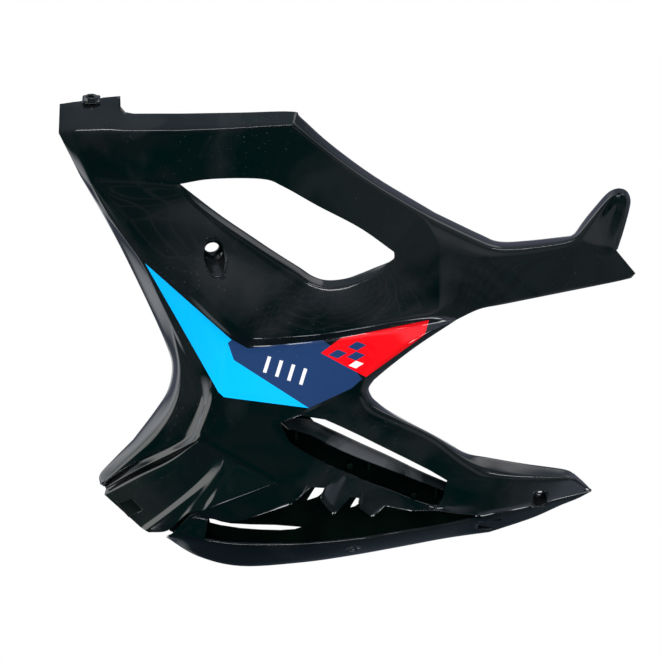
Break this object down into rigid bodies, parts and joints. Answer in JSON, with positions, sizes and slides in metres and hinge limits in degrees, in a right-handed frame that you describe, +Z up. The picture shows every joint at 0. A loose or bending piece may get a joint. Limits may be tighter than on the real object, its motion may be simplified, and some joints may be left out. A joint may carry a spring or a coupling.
{
  "type": "motorcycle belly pan side panel",
  "caption": "Moulded side panel of a motorcycle's lower fairing, with window, air scoop, saw-tooth vents and screw recesses.",
  "frame": {"origin": "centre of the side screw's hole, on the floor of its recess", "axes": "+X along the panel's length, +Y inwards towards the engine, +Z up as the picture shows the panel"},
  "size_m": [0.6354, 0.0884, 0.5229],
  "materials": {
    "gloss_black": "black lacquer, high gloss, with blue, navy and red fields",
    "insert_black": "black lacquer, high gloss",
    "satin_black": "moulded satin black"
  },
  "bodies": {
    "root": {"side_panel": "gloss_black", "front_insert": "insert_black", "duct_panel": "satin_black"}
  },
  "joints": []
}
